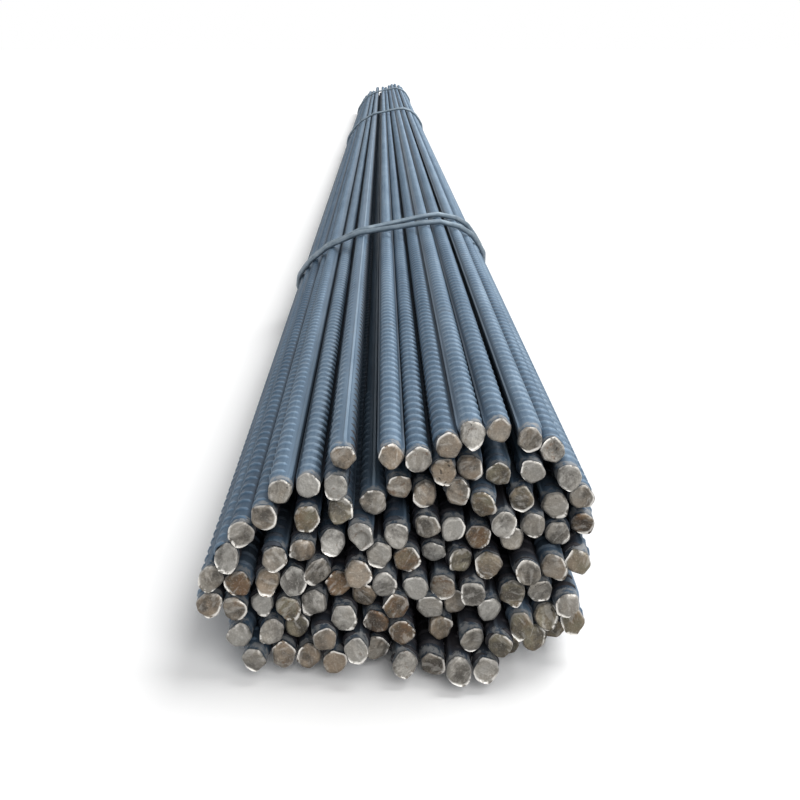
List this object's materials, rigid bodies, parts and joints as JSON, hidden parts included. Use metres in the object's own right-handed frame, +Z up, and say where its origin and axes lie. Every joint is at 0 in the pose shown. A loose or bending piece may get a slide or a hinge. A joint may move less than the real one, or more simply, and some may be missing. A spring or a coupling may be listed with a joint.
{
  "type": "rebar bundle",
  "caption": "Bundle of straight ribbed steel reinforcing bars with sheared ends, stacked parallel and held by twice-wound wire ties.",
  "frame": {"origin": "on the floor, under the middle of the bundle's bounding box", "axes": "+Y along the bars, from the near sheared ends to the far ones; +Z up; +X to the right seen from the near ends"},
  "size_m": [0.34, 6.0734, 0.2067],
  "materials": {
    "bar_steel": "hot-rolled blue-grey mill scale, ribbed, with bare and lightly rusted sheared ends",
    "tie_wire": "soft drawn wire rod with grey mill scale"
  },
  "bodies": {
    "root": {"bar_layer_01": "bar_steel", "bar_layer_02": "bar_steel", "bar_layer_03": "bar_steel", "bar_layer_04": "bar_steel", "bar_layer_05": "bar_steel", "bar_layer_06": "bar_steel", "bar_layer_07": "bar_steel", "bar_layer_08": "bar_steel", "bar_layer_09": "bar_steel", "bar_layer_10": "bar_steel", "bar_layer_11": "bar_steel", "tie_wire_1": "tie_wire", "tie_wire_2": "tie_wire", "tie_wire_3": "tie_wire"}
  },
  "joints": []
}
